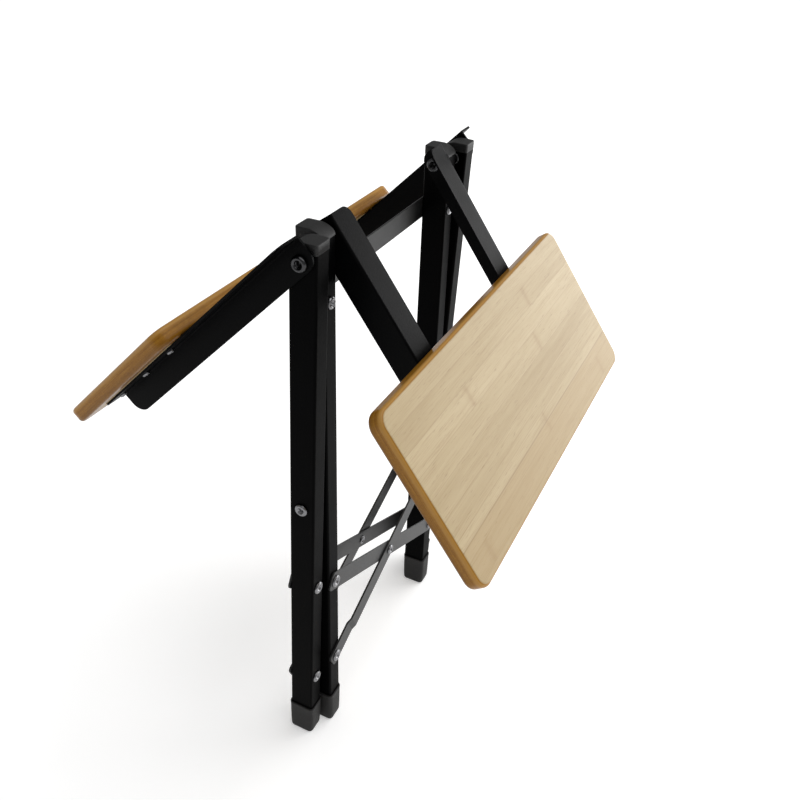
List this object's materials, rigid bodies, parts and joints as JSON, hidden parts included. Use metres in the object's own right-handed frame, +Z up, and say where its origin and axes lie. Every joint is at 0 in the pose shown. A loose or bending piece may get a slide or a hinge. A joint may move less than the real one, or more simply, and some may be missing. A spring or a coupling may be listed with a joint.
{
  "type": "folding tray table",
  "caption": "Small folding tray table on crossed tubular legs, with a wooden top split into two hinged leaves, shown part folded.",
  "frame": {"origin": "on the floor, under the middle of the table's overall box as it stands part folded", "axes": "+Z up, Y along the hinge axes with the front at -Y, X across the fold with the left leaf at -X"},
  "size_m": [0.4062, 0.405, 0.5848],
  "materials": {
    "black_steel": "satin powder coat",
    "black_plastic": "moulded, matte",
    "bamboo": "edge-glued bamboo, clear satin varnish",
    "bright_steel": "bright zinc",
    "washer_plastic": "nylon, matte"
  },
  "bodies": {
    "pivot": {"pivot_rivets": "bright_steel", "pivot_spacers": "washer_plastic"},
    "frame_outer": {"leg_outer_front": "black_steel", "leg_outer_rear": "black_steel", "cap_outer_front": "black_plastic", "cap_outer_rear": "black_plastic", "foot_outer_front": "black_plastic", "foot_outer_rear": "black_plastic", "brace_outer_flat": "black_steel", "brace_outer_set": "black_steel", "brace_rivets_outer": "bright_steel"},
    "frame_inner": {"leg_inner_front": "black_steel", "leg_inner_rear": "black_steel", "cap_inner_front": "black_plastic", "cap_inner_rear": "black_plastic", "foot_inner_front": "black_plastic", "foot_inner_rear": "black_plastic", "brace_inner_flat": "black_steel", "brace_inner_set": "black_steel", "brace_rivets_inner": "bright_steel", "tie_bar": "black_steel", "tie_bar_rivets": "bright_steel"},
    "left_leaf": {"left_top": "bamboo", "left_arm_front": "black_steel", "left_arm_rear": "black_steel", "left_top_screws": "bright_steel", "left_hinge_pins": "bright_steel", "left_hinge_washers": "washer_plastic"},
    "right_leaf": {"right_top": "bamboo", "right_arm_front": "black_steel", "right_arm_rear": "black_steel", "right_top_screws": "bright_steel", "right_hinge_pins": "bright_steel", "right_hinge_washers": "washer_plastic"}
  },
  "joints": [
    {"name": "legs_spread", "type": "hinge", "parent": "pivot", "child": "frame_outer", "pos_m": [0.01114, 0, 0.31935], "axis": [0, 1, 0], "range_deg": [0, 11.57]},
    {"name": "legs_spread_inner", "type": "hinge", "parent": "pivot", "child": "frame_inner", "pos_m": [0.01114, 0, 0.31935], "axis": [0, -1, 0], "range_deg": [0, 11.57]},
    {"name": "left_lift", "type": "hinge", "parent": "frame_outer", "child": "left_leaf", "pos_m": [0.01539, 0, 0.56331], "axis": [0, 1, 0], "range_deg": [0, 34.73]},
    {"name": "right_lift", "type": "hinge", "parent": "frame_inner", "child": "right_leaf", "pos_m": [0.00688, 0, 0.56331], "axis": [0, -1, 0], "range_deg": [0, 41.23]}
  ],
  "couplings": [
    {"joint": "legs_spread_inner", "follows": "legs_spread", "ratio": 1},
    {"joint": "left_lift", "follows": "legs_spread", "ratio": 3},
    {"joint": "right_lift", "follows": "legs_spread", "ratio": 3.5616}
  ]
}
